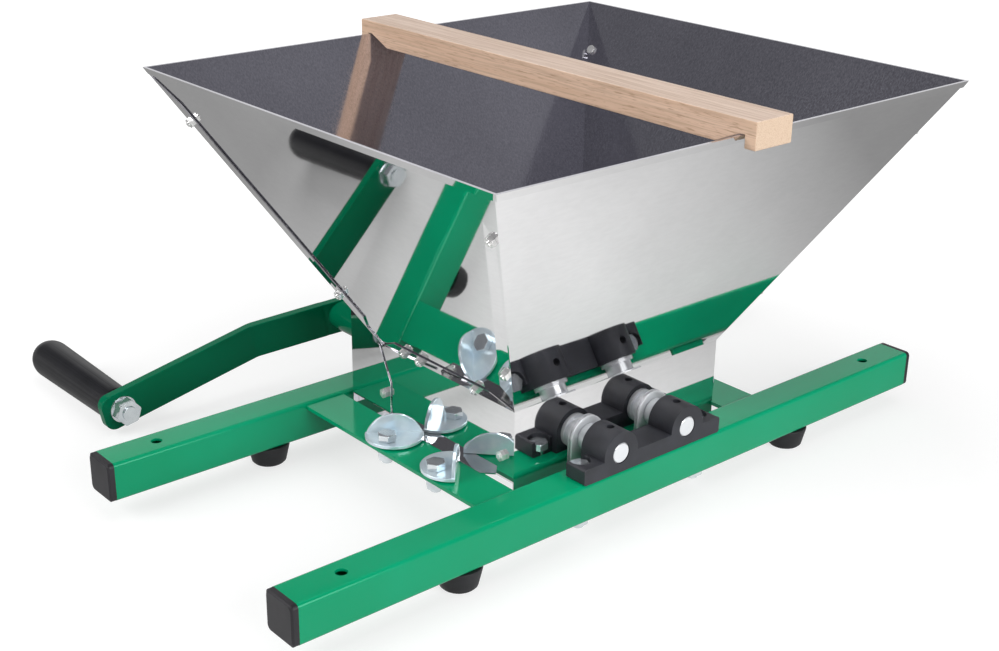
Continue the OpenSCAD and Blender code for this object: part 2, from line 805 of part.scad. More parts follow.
module block_nuts() {
    color("#c4c7ca") at_block_bolts() mirror([0, 0, 1]) nut_on_washer(block_bolt_d);
}

// Seal plates with a round upper end, which close the walls' slots round the shafts
module wall_seal_discs() {
    drop = shaft_z - wall_bottom_z;
    color("#b4b7ba") for (y = [-seal_y, far_wall_y + sheet_gap + seal_disc_t, seal_y + seal_disc_t],
                          x = [-shaft_x, shaft_x])
        translate([x, y, shaft_z]) rotate([90, 0, 0]) difference() {
            union() {
                cylinder(d = seal_disc_d, h = seal_disc_t);
                translate([-seal_disc_d / 2, -drop, 0]) cube([seal_disc_d, drop, seal_disc_t]);
            }
            translate([0, 0, -over]) cylinder(d = shaft_d + 2 * slack, h = seal_disc_t + 2 * over);
        }
}

// Spacer sleeves with a collar, pressed on a shaft between the wall and each barrel
module spacers(x) {
    len = spacer_y1 - spacer_y0;
    color("#a9acb0") for (side = [-1, 1])
        translate([x, side * spacer_y0, shaft_z]) rotate([-90 * side, 0, 0]) difference() {
            union() {
                cylinder(d = spacer_d, h = len);
                translate([0, 0, len - spacer_collar_w]) cylinder(d = spacer_collar_d, h = spacer_collar_w);
            }
            translate([0, 0, -over]) cylinder(d = shaft_d, h = len + 2 * over);
        }
}

module drive_spacers() {
    spacers(-shaft_x);
}

module idler_spacers() {
    spacers(shaft_x);
}

// A shaft from the near block's face to the far block's face or the end of the crank's boss
module shaft(x, end_y) {
    chamfer = 1;
    color("#d3d5d8") translate([x, shaft_near_y, shaft_z]) rotate([-90, 0, 0]) rotate_extrude()
        polygon([[0, 0], [shaft_d / 2 - chamfer, 0], [shaft_d / 2, chamfer],
                 [shaft_d / 2, end_y - shaft_near_y - chamfer],
                 [shaft_d / 2 - chamfer, end_y - shaft_near_y], [0, end_y - shaft_near_y]]);
}

module drive_shaft() {
    shaft(-shaft_x, boss_y1 - slack);
}

module idler_shaft() {
    shaft(shaft_x, rail_out_y);
}

// A roller core with a slot for each blade
module roller_core(x, phase) {
    color("#c7c9cc") translate([x, roller_far_y, shaft_z]) rotate([90, 0, 0]) rotate([0, 0, phase])
        difference() {
            cylinder(d = core_d, h = roller_len);
            translate([0, 0, -over]) cylinder(d = shaft_d, h = roller_len + 2 * over);
            for (i = [0:blades - 1]) rotate([0, 0, i * 360 / blades])
                translate([core_d / 2 - blade_in, -blade_t / 2, -over])
                    cube([2 * blade_in, blade_t, roller_len + 2 * over]);
        }
}

// The rollers are a half pitch apart, so that blades pass between blades
module drive_roller() {
    roller_core(-shaft_x, 0);
}

module idler_roller() {
    roller_core(shaft_x, 180 / blades);
}

// Outline of one blade along the roller: a straight root and a row of pointed teeth
module blade_outline() {
    pitch = roller_len / blade_teeth;
    root = blade_in + blade_root_share * blade_out;
    tip = blade_in + blade_out;
    polygon(concat([[0, 0]],
                   [for (i = [0:blade_teeth - 1], p = [[root, tooth_shares[0]], [tip, tooth_shares[1]],
                                                       [tip, tooth_shares[2]], [root, tooth_shares[3]]])
                    [p[0], (i + p[1]) * pitch]],
                   [[0, roller_len]]));
}

module roller_blades(x, phase) {
    color("#dfe1e3") translate([x, roller_far_y, shaft_z]) rotate([90, 0, 0]) rotate([0, 0, phase])
        for (i = [0:blades - 1]) rotate([0, 0, i * 360 / blades])
            translate([core_d / 2 - blade_in, blade_t / 2, 0]) rotate([90, 0, 0])
                linear_extrude(blade_t) blade_outline();
}

module drive_blades() {
    roller_blades(-shaft_x, 0);
}

module idler_blades() {
    roller_blades(shaft_x, 180 / blades);
}

// Point of an involute of a base circle, at the radius r, turned back by its own angle
function involute_angle(r) = let (a = acos(min(1, gear_base_r / r))) tan(a) * 180 / PI - a;

// Half angle of a tooth at the radius r
function tooth_half(r) = 90 / gear_teeth - backlash / 4 / gear_pitch_r * 180 / PI
                         + involute_angle(gear_pitch_r) - involute_angle(r);

function polar(r, a) = [r * cos(a), r * sin(a)];

// Radii along a tooth's flank, from the base circle to the tip
function flank_radii() = [for (i = [0:flank_steps])
                          max(gear_base_r, gear_root_r) + i / flank_steps
                          * (gear_tip_r - max(gear_base_r, gear_root_r))];

module gear_outline() {
    pitch_angle = 360 / gear_teeth;
    flank = flank_radii();
    root_half = tooth_half(flank[0]);
    polygon([for (t = [0:gear_teeth - 1], p = concat(
                 [[gear_root_r, -root_half - root_flare]],
                 [for (r = flank) [r, -tooth_half(r)]],
                 [for (i = [flank_steps:-1:0]) [flank[i], tooth_half(flank[i])]],
                 [[gear_root_r, root_half + root_flare]]))
             polar(p[0], t * pitch_angle + p[1])]);
}

// A gear with a hub on its far face and a set screw hole in the hub
module gear(x, turn) {
    color("#8f9296") translate([x, gear_y, shaft_z]) rotate([-90, 0, 0]) difference() {
        union() {
            rotate([0, 0, turn]) linear_extrude(gear_w) gear_outline();
            cylinder(d = gear_hub_d, h = gear_hub_len);
        }
        translate([0, 0, -over]) cylinder(d = shaft_d, h = gear_hub_len + 2 * over);
        translate([0, 0, (gear_w + gear_hub_len) / 2]) rotate([90, 0, 0])
            cylinder(d = set_screw_d, h = gear_hub_d);
    }
}

// The drive gear has a tooth, and the idler gear a gap, on the line between their shafts
module drive_gear() {
    gear(-shaft_x, 0);
}

module idler_gear() {
    gear(shaft_x, 180 + 180 / gear_teeth);
}

// A set screw stands on its shaft and reaches the outside of a hub or boss
module set_screw(x, y, hub_d) {
    translate([x, y, shaft_z + shaft_d / 2]) cylinder(d = set_screw_d, h = (hub_d - shaft_d) / 2);
}

module drive_gear_screw() {
    color("#55585c") set_screw(-shaft_x, gear_y + (gear_w + gear_hub_len) / 2, gear_hub_d);
}

module idler_gear_screw() {
    color("#55585c") set_screw(shaft_x, gear_y + (gear_w + gear_hub_len) / 2, gear_hub_d);
}

// The crank is drawn with its arm along +X and its shaft along Y, and then turned to its place
module at_crank() {
    translate([-shaft_x, 0, shaft_z]) rotate([0, 180 - crank_angle, 0]) children();
}

// Tube that sits on the drive shaft, with a hole for its lock screw
module crank_boss() {
    color("#0e7a43") at_crank() difference() {
        translate([0, boss_y0, 0]) rotate([-90, 0, 0]) cylinder(d = boss_d, h = boss_len);
        translate([0, boss_y0 - over, 0]) rotate([-90, 0, 0])
            cylinder(d = shaft_d, h = boss_len + 2 * over);
        translate([0, boss_y0 + boss_len / 2, 0]) cylinder(d = set_screw_d, h = boss_d);
    }
}

module crank_screw() {
    head_h = 5;
    past = 1;
    shank = (boss_d - shaft_d) / 2 + past;
    color("#b9bcc0") at_crank() translate([0, boss_y0 + boss_len / 2, shaft_d / 2]) {
        cylinder(d = set_screw_d, h = shank);
        translate([0, 0, shank]) hexagon(set_screw_d * bolt_head_af_share, head_h);
    }
}

// Plan of the bent bar in X and Y: a flat end on the boss, a part that leans out, and a flat outer part
module arm_plan() {
    outer_r = bend_round + arm_t;
    inner_at = [hub_flat - outer_r * tan(bend_angle / 2), arm_in_y + outer_r];
    outer_at = [crank_bend_r + bend_round * tan(bend_angle / 2), arm_out_y - bend_round];
    polygon(concat([[-arm_h / 2, arm_in_y]],
                   arc(inner_at, outer_r, -90, bend_angle - 90),
                   arc(outer_at, bend_round, bend_angle + 90, 90),
                   [[crank_r + arm_end, arm_out_y], [crank_r + arm_end, arm_out_y + arm_t]],
                   arc(outer_at, outer_r, 90, bend_angle + 90),
                   arc(inner_at, bend_round, bend_angle - 90, -90),
                   [[-arm_h / 2, arm_in_y + arm_t]]));
}

// Points of an arc about a centre, from the angle a0 to the angle a1
function arc(centre, radius, a0, a1) = [for (i = [0:arc_steps])
                                        centre + polar(radius, a0 + i * (a1 - a0) / arc_steps)];

// Side view of the bar in X and Z, with a round inner end and a blunt outer end
module arm_side() {
    circle(r = arm_h / 2);
    translate([0, -arm_h / 2]) square([crank_r + arm_end - arm_round, arm_h]);
    translate([0, -arm_h / 2 + arm_round]) square([crank_r + arm_end, arm_h - 2 * arm_round]);
    for (z = [-1, 1]) translate([crank_r + arm_end - arm_round, z * (arm_h / 2 - arm_round)])
        circle(r = arm_round);
}

module crank_arm() {
    color("#0e7a43") at_crank() difference() {
        intersection() {
            translate([0, 0, -arm_h]) linear_extrude(2 * arm_h) arm_plan();
            translate([0, arm_out_y + 2 * arm_h, 0]) rotate([90, 0, 0])
                linear_extrude(crank_offset + 4 * arm_h) arm_side();
        }
        translate([crank_r, arm_out_y - over, 0]) rotate([-90, 0, 0])
            cylinder(d = grip_bolt_d, h = arm_t + 2 * over);
    }
}

// Bolt that carries the grip: its head lies in the grip's round end, and its nut on the arm's near face
module grip_bolt() {
    nut_len = grip_nut_h_share * grip_bolt_d;
    start = arm_out_y - washer_t - nut_len - grip_bolt_end;
    seat = arm_out_y + arm_t + grip_end_gap + grip_len - grip_floor - grip_bolt_head_h;
    color("#c4c7ca") at_crank() translate([crank_r, 0, 0]) {
        translate([0, start, 0]) rotate([-90, 0, 0]) cylinder(d = grip_bolt_d, h = seat - start);
        translate([0, seat, 0]) rotate([-90, 0, 0]) cylinder(d = grip_bolt_head_d, h = grip_bolt_head_h);
    }
}

module grip_nut() {
    nut_len = grip_nut_h_share * grip_bolt_d;
    color("#c4c7ca") at_crank() translate([crank_r, arm_out_y, 0]) rotate([90, 0, 0]) difference() {
        union() {
            cylinder(d = grip_washer_share * grip_bolt_d, h = washer_t);
            translate([0, 0, washer_t]) hexagon(grip_nut_af_share * grip_bolt_d, nut_len);
        }
        translate([0, 0, -over]) cylinder(d = grip_bolt_d, h = washer_t + nut_len + 2 * over);
    }
}

// Moulded grip: it swells towards its round end, turns on the bolt and hides the bolt's head
module crank_grip() {
    bore_r = grip_bolt_d / 2 + grip_bore_slack;
    head_gap = 0.5;
    body = grip_len * grip_taper_share;
    head_y = grip_len - grip_floor - grip_bolt_head_h;
    color("#26272a") at_crank() translate([crank_r, arm_out_y + arm_t + grip_end_gap, 0])
        rotate([-90, 0, 0]) difference() {
            rotate_extrude() union() {
                polygon([[0, 0], [grip_d0 / 2 - grip_edge, 0], [grip_d0 / 2, grip_edge],
                         [grip_d1 / 2, body], [0, body]]);
                intersection() {
                    translate([0, body]) dome_section(grip_d1 / 2, grip_len - body);
                    translate([0, body - over]) square([grip_d1, grip_len]);
                }
            }
            translate([0, 0, -over]) cylinder(r = bore_r, h = head_y + 2 * over);
            translate([0, 0, head_y - head_gap])
                cylinder(d = grip_bolt_head_d + 2 * head_gap, h = grip_bolt_head_h + 2 * head_gap);
        }
}

// Half section of a dome of the given radius and height, as an arc of a larger circle
module dome_section(radius, height) {
    steps = 10;
    polygon(concat([[0, 0]], [for (i = [0:steps])
                              [radius * cos(i * 90 / steps), height * sin(i * 90 / steps)]]));
}

// A clamp disc: a flat segment with an off-centre bolt hole and the rest of the disc bent up as a tab
module clamp_disc(disc_side) {
    bolt_y = disc_bend - disc_bolt_off;
    translate([disc_side, -bolt_y, 0]) {
        difference() {
            intersection() {
                cylinder(d = disc_d, h = disc_t);
                translate([-disc_d / 2, -disc_d / 2, 0]) cube([disc_d, disc_d / 2 + disc_bend, disc_t]);
            }
            translate([-disc_side, bolt_y, -over])
                cylinder(d = clamp_bolt_d + 2 * run_gap, h = disc_t + 2 * over);
        }
        translate([0, disc_bend, 0]) rotate([90, 0, 0]) intersection() {
            translate([0, -disc_bend, 0]) cylinder(d = disc_d, h = disc_t);
            translate([-disc_d / 2, 0, 0]) cube([disc_d, disc_d, disc_t]);
        }
    }
}

module at_clamp(i) {
    translate([clamp_xs[i], clamp_ys[i], disc_z]) rotate([0, 0, disc_turns[i]]) children();
}

module clamp_disc_left_far() {
    color("#cfd2d4") at_clamp(0) clamp_disc(disc_sides[0]);
}

module clamp_disc_left_near() {
    color("#cfd2d4") at_clamp(1) clamp_disc(disc_sides[1]);
}

module clamp_disc_right_far() {
    color("#cfd2d4") at_clamp(2) clamp_disc(disc_sides[2]);
}

module clamp_disc_right_near() {
    color("#cfd2d4") at_clamp(3) clamp_disc(disc_sides[3]);
}

module clamp_bolts() {
    seat = disc_z + disc_t + slack;
    nut_len = washer_t + nut_h_share * clamp_bolt_d;
    shank = seat - (deck_z - deck_t) + nut_len + bolt_past;
    color("#c9ccce") for (i = [0:3]) translate([clamp_xs[i], clamp_ys[i], seat]) mirror([0, 0, 1])
        hex_bolt(clamp_bolt_d, shank);
}

module clamp_nuts() {
    color("#c9ccce") for (i = [0:3]) translate([clamp_xs[i], clamp_ys[i], deck_z - deck_t])
        mirror([0, 0, 1]) nut_on_washer(clamp_bolt_d);
}

near_rail();
far_rail();
rail_end_caps();
rubber_feet();
foot_screws();
left_deck_plate();
right_deck_plate();
hopper_near_panel();
hopper_far_panel();
hopper_left_panel();
hopper_right_panel();
left_neck_wall();
right_neck_wall();
gear_box();
hopper_screws();
hopper_nuts();
wooden_bar();
near_bearing_block();
far_bearing_block();
block_bolts();
block_nuts();
wall_seal_discs();
drive_spacers();
idler_spacers();
drive_shaft();
idler_shaft();
drive_roller();
idler_roller();
drive_blades();
idler_blades();
drive_gear();
idler_gear();
drive_gear_screw();
idler_gear_screw();
crank_boss();
crank_arm();
crank_screw();
grip_bolt();
grip_nut();
crank_grip();
clamp_disc_left_far();
clamp_disc_left_near();
clamp_disc_right_far();
clamp_disc_right_near();
clamp_bolts();
clamp_nuts();
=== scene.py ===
from math import cos, pi, radians, sin

import bmesh
import bpy
from mathutils import Matrix, Vector


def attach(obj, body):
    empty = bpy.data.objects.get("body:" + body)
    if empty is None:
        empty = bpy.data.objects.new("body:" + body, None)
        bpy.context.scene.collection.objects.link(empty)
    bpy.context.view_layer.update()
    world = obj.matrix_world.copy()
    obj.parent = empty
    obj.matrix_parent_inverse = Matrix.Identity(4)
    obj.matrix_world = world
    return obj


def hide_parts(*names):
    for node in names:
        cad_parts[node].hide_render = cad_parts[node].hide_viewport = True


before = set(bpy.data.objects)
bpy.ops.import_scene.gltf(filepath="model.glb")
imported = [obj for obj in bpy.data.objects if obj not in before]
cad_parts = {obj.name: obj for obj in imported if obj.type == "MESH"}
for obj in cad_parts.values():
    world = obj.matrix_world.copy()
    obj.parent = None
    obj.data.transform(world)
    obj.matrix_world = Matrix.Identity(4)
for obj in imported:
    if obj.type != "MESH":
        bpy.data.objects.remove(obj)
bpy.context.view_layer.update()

# The rails and deck plates are one weldment of 30 mm square tube and 3 mm plate, blasted and powder
# coated in a glossy leaf green. The coat rounds every edge a little and has a faint orange peel.
MM = 0.001
BLACK = (0, 0, 0)
WHITE = (1, 1, 1)
GREEN = (0.0, 0.315, 0.138)
GREEN_THIN = (0.0, 0.35, 0.165)
GREEN_SHINE = (0.45, 1.0, 0.8)


class Socket:
    """A shader socket that takes arithmetic, so that a mask can be written as an expression."""

    def __init__(self, nodes, out):
        self.nodes = nodes
        self.out = out

    def joined(self, operation, first, second):
        return self.nodes.node("ShaderNodeMath", {"operation": operation}, {0: first, 1: second})

    def __add__(self, other):
        return self.joined("ADD", self, other)

    __radd__ = __add__

    def __mul__(self, other):
        return self.joined("MULTIPLY", self, other)

    __rmul__ = __mul__

    def __sub__(self, other):
        return self.joined("SUBTRACT", self, other)

    def __rsub__(self, other):
        return self.joined("SUBTRACT", other, self)

    def __abs__(self):
        return self.nodes.node("ShaderNodeMath", {"operation": "ABSOLUTE"}, {0: self})

    def above(self, other):
        return self.joined("GREATER_THAN", self, other)


class Nodes:
    """The nodes of a material or of the studio. node() makes one, and the rest are short forms of it."""

    def __init__(self, tree):
        self.tree = tree

    def put(self, socket, value):
        if isinstance(value, Socket):
            self.tree.links.new(value.out, socket)
        elif socket.type == "RGBA":
            socket.default_value = (*value, 1)
        else:
            socket.default_value = value

    def node(self, kind, settings, inputs, output=0):
        made = self.tree.nodes.new(kind)
        for key, value in settings.items():
            if key == "stops":
                for stop, (place, colour) in zip(made.color_ramp.elements, value):
                    stop.position = place
                    stop.color = (*colour, 1)
            elif key == "easing":
                made.color_ramp.interpolation = value
            else:
                setattr(made, key, value)
        for key, value in inputs.items():
            self.put(made.inputs[key], value)
        return Socket(self, made.outputs[output])

    def spot(self, kind="Object"):
        return self.node("ShaderNodeTexCoord", {}, {}, kind)

    def part_of(self, vector, axis):
        return self.node("ShaderNodeSeparateXYZ", {}, {0: vector}, axis)

    def vector(self, operation, inputs, output="Vector"):
        return self.node("ShaderNodeVectorMath", {"operation": operation}, inputs, output)

    def noise(self, scale=1.0, detail=2, stretch=(1, 1, 1)):
        place = self.node("ShaderNodeMapping", {}, {"Vector": self.spot(), "Scale": stretch})
        inputs = {"Vector": place, "Scale": scale, "Detail": detail}
        return self.node("ShaderNodeTexNoise", {}, inputs, "Fac")

    def ramp(self, factor, low, high, first=BLACK, last=WHITE, easing="LINEAR"):
        settings = {"easing": easing, "stops": ((low, first), (high, last))}
        return self.node("ShaderNodeValToRGB", settings, {"Fac": factor})

    def mix(self, factor, first, second):
        inputs = {"Factor": factor, 6: first, 7: second}
        return self.node("ShaderNodeMix", {"data_type": "RGBA"}, inputs, 2)

    def seen_by(self, rays):
        return self.node("ShaderNodeLightPath", {}, {}, f"Is {rays} Ray")

    def mirrored(self):
        rays = {0: self.seen_by("Glossy"), 1: self.seen_by("Transmission")}
        return self.node("ShaderNodeMath", {"operation": "MAXIMUM"}, rays)


class Finish(Nodes):
    """A material with one Principled shader, whose sockets set() fills."""

    def __init__(self, name, **shader):
        self.material = bpy.data.materials.new(name)
        self.material.use_nodes = True
        super().__init__(self.material.node_tree)
        self.set(**shader)

    def set(self, **sockets):
        shader = self.tree.nodes["Principled BSDF"]
        for key, value in sockets.items():
            self.put(shader.inputs[key.replace("_", " ")], value)

    def bump(self, height, distance, strength=1.0):
        inputs = {"Height": height, "Distance": distance, "Strength": strength}
        self.set(Normal=self.node("ShaderNodeBump", {}, inputs))


def green_coat(name, depth, shine):
    """The green powder coat. A depth below 1 darkens the colour all over: painted shade."""
    coat = Finish(name, Specular_IOR_Level=shine, Specular_Tint=GREEN_SHINE)
    cloud = coat.ramp(coat.noise(scale=9, detail=3), 0.35, 0.7)
    full = [depth * c for c in GREEN]
    thin = [depth * c for c in GREEN_THIN]
    coat.set(Base_Color=coat.mix(cloud, full, thin))
    coat.set(Roughness=0.1 + 0.07 * coat.noise(scale=60))
    coat.bump(coat.noise(scale=420, detail=1), distance=0.02 * MM, strength=0.2)
    return coat.material


SAME_POINT = 0.004 * MM
SAME_FACE = radians(0.5)
SHARP = radians(32)
HEX_TURN = radians(60)
HEX_TURN_WITHIN = radians(2)


def cut_hex_corners(bm, size):
    """Takes the corners off the bolt heads and nuts, at every edge between two of their six flats."""
    corners = {v for e in bm.edges if len(e.link_faces) == 2
               and abs(e.calc_face_angle() - HEX_TURN) < HEX_TURN_WITHIN for v in e.verts}
    bmesh.ops.bevel(bm, geom=list(corners), offset=size, affect="VERTICES", segments=1, profile=0.5,
                    material=-1)


def finished(name, bm, body, material, flat):
    """Makes an object of a bmesh, gives it its finish and lets it ride on its CAD body."""
    mesh = bpy.data.meshes.new(name)
    bm.to_mesh(mesh)
    bm.free()
    if flat:
        mesh.shade_flat()
    else:
        mesh.shade_smooth()
        mesh.set_sharp_from_angle(angle=SHARP)
    mesh.materials.append(material)
    piece = bpy.data.objects.new(name, mesh)
    bpy.context.scene.collection.objects.link(piece)
    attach(piece, body)
    return piece


def eased(name, node, body, material, edge, steps=3, hex_cut=0, flat=False, shape=None):
    """A CAD piece with its triangles joined, its flats made whole and its edges rounded."""
    bm = bmesh.new()
    bm.from_mesh(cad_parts[node].data)
    bmesh.ops.remove_doubles(bm, verts=bm.verts, dist=SAME_POINT)
    bmesh.ops.dissolve_limit(bm, angle_limit=SAME_FACE, verts=bm.verts, edges=bm.edges)
    if hex_cut:
        cut_hex_corners(bm, hex_cut)
    if shape:
        shape(bm)
    piece = finished(name, bm, body, material, flat)
    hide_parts(node)
    bevel = piece.modifiers.new("edge", "BEVEL")
    bevel.width = edge
    bevel.segments = steps
    bevel.limit_method = "ANGLE"
    bevel.angle_limit = SHARP
    bevel.harden_normals = not flat


coat = green_coat("green_coat", depth=1.0, shine=0.45)
for node in ("near_rail", "far_rail", "left_deck_plate", "right_deck_plate"):
    eased(node + "_coated", node, "frame", coat, edge=0.5 * MM)


# The rails' ends are closed with black moulded caps, pushed in until their bevelled heads meet the
# tube. The moulding is fine grained and slightly shiny on its edges.
def moulded(name, colour, roughness, grain, depth):
    """A black moulding, with grain the scale of its grain and depth how deep it is."""
    moulding = Finish(name, Specular_IOR_Level=0.4)
    lighter = [1.5 * c for c in colour]
    cloud = moulding.ramp(moulding.noise(scale=55, detail=3), 0.4, 0.7)
    moulding.set(Base_Color=moulding.mix(cloud, colour, lighter))
    moulding.set(Roughness=roughness - 0.06 + 0.12 * moulding.noise(scale=40))
    moulding.bump(moulding.noise(scale=grain), distance=depth)
    return moulding.material


cap_plastic = moulded("cap_plastic", colour=(0.014, 0.013, 0.016), roughness=0.5, grain=1400,
                      depth=0.02 * MM)
eased("rail_caps_moulded", "rail_end_caps", "frame", cap_plastic, edge=0.4 * MM)

# Four tapered rubber feet hold the rails off the bench. Each is moulded in one piece, with a recess for
# the head and washer of its screw.
foot_rubber = moulded("foot_rubber", colour=(0.012, 0.012, 0.014), roughness=0.6, grain=700,
                      depth=0.03 * MM)
eased("rubber_feet_moulded", "rubber_feet", "frame", foot_rubber, edge=0.8 * MM)


# All bolts, nuts and washers are bright zinc plated: bluish, softly mirrored, and slightly cloudy where
# the bath ran off. The hopper's small screws and nuts have a whiter plating.
def zinc_plate(name, metallic, thin, full, roughness):
    """A plating whose colour clouds between thin and full."""
    plate = Finish(name, Metallic=metallic)
    cloud = plate.ramp(plate.noise(scale=70, detail=3), 0.3, 0.72)
    plate.set(Base_Color=plate.mix(cloud, thin, full))
    plate.set(Roughness=roughness + 0.14 * plate.noise(scale=160, detail=3))
    plate.bump(plate.noise(scale=500), distance=0.02 * MM, strength=0.35)
    return plate.material


zinc = zinc_plate("zinc_steel", metallic=0.85, thin=(0.62, 0.67, 0.71), full=(0.86, 0.90, 0.92),
                  roughness=0.06)
nickel = zinc_plate("small_nickel", metallic=0.65, thin=(0.80, 0.80, 0.79), full=(0.95, 0.94, 0.93),
                    roughness=0.05)
HEX_CUTS = (("foot_screws", zinc, 0.5), ("hopper_screws", nickel, 0), ("hopper_nuts", nickel, 0.3),
            ("block_bolts", zinc, 0.7), ("block_nuts", zinc, 0.7), ("clamp_bolts", zinc, 0.7),
            ("clamp_nuts", zinc, 0.7))
for node, plate, cut in HEX_CUTS:
    eased(node + "_plated", node, "frame", plate, edge=0.12 * MM, steps=1, hex_cut=cut * MM)

# The hopper is folded of 1 mm stainless sheet. Outside it is polished and mirrors the frame; inside it
# keeps its brushed finish, with the grain running down the slopes. No fold lies quite flat: the corner
# flanges and the hems spring open a little.
POLISHED = ((0.715, 0.71, 0.715), (0.815, 0.81, 0.815))
BRUSHED = ((0.52, 0.515, 0.56), (0.86, 0.845, 0.91))
GRAIN_RUN = (900, 900, 90)
SCUFF_RUN = (110, 110, 380)


def hopper_steel():
    steel = Finish("hopper_steel", Metallic=1.0)
    from_axis = steel.vector("MULTIPLY", {0: steel.spot(), 1: (1, 1, 0)})
    outward = steel.vector("DOT_PRODUCT", {0: from_axis, 1: steel.spot("Normal")}, "Value")
    inside = 1 - outward.above(0.0)
    grain = steel.ramp(steel.noise(detail=4, stretch=GRAIN_RUN), 0.32, 0.68)
    cloud = steel.ramp(steel.noise(scale=7, detail=6), 0.32, 0.68)
    scuffs = steel.ramp(steel.noise(detail=4, stretch=SCUFF_RUN), 0.35, 0.65)
    polished = steel.mix(0.8 * cloud + 0.2 * scuffs, *POLISHED)
    brushed = steel.mix(0.6 * grain + 0.4 * cloud, *BRUSHED)
    steel.set(Base_Color=steel.mix(inside, polished, brushed))
    smooth = 0.012 + 0.035 * steel.noise(scale=18, detail=3) + 0.01 * scuffs
    rough = 0.06 + 0.07 * grain
    steel.set(Roughness=smooth + inside * (rough - smooth))
    waves = steel.noise(scale=6, detail=1)
    steel.bump(waves + inside * grain * 0.012, distance=0.25 * MM, strength=0.35)
    return steel.material


NEAR_WALL_Y = -96 * MM
FAR_WALL_Y = 58 * MM
PANEL_RISE = 204
NEAR_SLOPE = (203 - 96) / PANEL_RISE
FAR_SLOPE = (191 - 58) / PANEL_RISE
FOLD_Z = 84 * MM
HEM_Z = 283 * MM
HEM_LEVEL_WITHIN = 0.4 * MM
HEM_FACE_WITHIN = 0.5 * MM
SPRING_FROM = 2 * MM
SPRING_TO = 185 * MM
FLANGE_FROM = 9 * MM
FLANGE_TO = 15 * MM
NEAR_SPRING = 0.9 * MM
FAR_SPRING = 0.3 * MM
HEM_SPRING = 0.55 * MM


def spring_open(bm):
    """Moves the free edges of the corner flanges away from the hopper's middle."""
    for v in bm.verts:
        rise = v.co.z - FOLD_Z
        near_depth = v.co.y - (NEAR_WALL_Y - NEAR_SLOPE * rise)
        far_depth = (FAR_WALL_Y + FAR_SLOPE * rise) - v.co.y
        if SPRING_FROM < rise < SPRING_TO and FLANGE_FROM < min(near_depth, far_depth) < FLANGE_TO:
            spring = NEAR_SPRING if near_depth < far_depth else FAR_SPRING
            v.co.x += spring * (1 if v.co.x > 0 else -1)


def hem_open(direction):
    """Springs a panel's flanges open, and the lower edge of its hem in the given direction."""
    def open_up(bm):
        spring_open(bm)
        low = [v for v in bm.verts if abs(v.co.z - HEM_Z) < HEM_LEVEL_WITHIN]
        outmost = max((v.co.dot(direction) for v in low), default=0)
        for v in low:
            if outmost - v.co.dot(direction) < HEM_FACE_WITHIN:
                v.co += direction * HEM_SPRING
    return open_up


OUTWARDS = {"near": (0, -1, 0), "far": (0, 1, 0), "left": (-1, 0, 0), "right": (1, 0, 0)}
sheet = hopper_steel()
for side, outwards in OUTWARDS.items():
    node = "hopper_" + side + "_panel"
    eased(node + "_sheet", node, "frame", sheet, edge=0.4 * MM, flat=True,
          shape=hem_open(Vector(outwards)))
for node in ("left_neck_wall", "right_neck_wall", "gear_box"):
    eased(node + "_sheet", node, "frame", sheet, edge=0.4 * MM, flat=True)

# A planed beech bar lies across the hopper, and a saw kerf over each rim keeps it there. It has fine
# streaks and short dark flecks along the grain, and its sawn ends show the pores.
TOP_WOOD = ((0.72, 0.56, 0.465), (0.83, 0.675, 0.575))
SIDE_WOOD_WITH_PAINTED_SHADE = ((0.66, 0.445, 0.31), (0.80, 0.575, 0.43))
SAWN_WOOD = ((0.70, 0.54, 0.41), (0.58, 0.41, 0.28))
STREAK = (0.47, 0.32, 0.22)
FLECK = (0.40, 0.245, 0.155)
FIGURE_RUN = (150, 5, 150)
STREAK_RUN = (900, 16, 900)
FLECK_RUN = (1700, 90, 900)
FIBRE_RUN = (1600, 60, 1600)
FACES_IT = 0.7


def bar_wood():
    wood = Finish("bar_wood", Specular_IOR_Level=0.25)
    end = abs(wood.part_of(wood.spot("Normal"), "Y")).above(FACES_IT)
    side = abs(wood.part_of(wood.spot("Normal"), "X")).above(FACES_IT)
    figure = wood.ramp(wood.noise(detail=4, stretch=FIGURE_RUN), 0.3, 0.72)
    streak = wood.ramp(wood.noise(detail=4, stretch=STREAK_RUN), 0.46, 0.62)
    fleck = wood.ramp(wood.noise(detail=3, stretch=FLECK_RUN), 0.56, 0.70)
    pores = wood.ramp(wood.noise(scale=1500), 0.45, 0.7)
    # The side faces take a darker, more orange copy of the top's colour. This is partly the wood's own
    # colour and partly painted shade.
    along = wood.mix(side, wood.mix(figure, *TOP_WOOD), wood.mix(figure, *SIDE_WOOD_WITH_PAINTED_SHADE))
    streaked = wood.mix(0.5 * streak, along, STREAK)
    planed = wood.mix((0.25 + 0.4 * side) * fleck, streaked, FLECK)
    wood.set(Base_Color=wood.mix(end, planed, wood.mix(pores, *SAWN_WOOD)))
    wood.set(Roughness=0.55 + 0.14 * wood.noise(scale=300, detail=3, stretch=(1, 0.1, 1)))
    wood.bump(wood.noise(detail=4, stretch=FIBRE_RUN), distance=0.04 * MM, strength=0.5)
    return wood.material


eased("wooden_bar_planed", "wooden_bar", "bar", bar_wood(), edge=0.9 * MM)

# The two bearing blocks are moulded in black nylon, with a fine spark-eroded grain and rounded edges.
# Each carries both shafts, and is bolted through its rail.
block_nylon = moulded("block_nylon", colour=(0.022, 0.023, 0.029), roughness=0.5, grain=1100,
                      depth=0.04 * MM)
for node in ("near_bearing_block", "far_bearing_block"):
    eased(node + "_moulded", node, "frame", block_nylon, edge=1.1 * MM)

# The two shafts are turned bright steel, and so are the seal discs on the neck's walls and the spacers
# with collars between the walls and the bearings. The tool marks run round them.
BRIGHT_STEEL = ((0.80, 0.82, 0.85), (0.90, 0.92, 0.94))
TOOL_MARKS = (40, 900, 40)


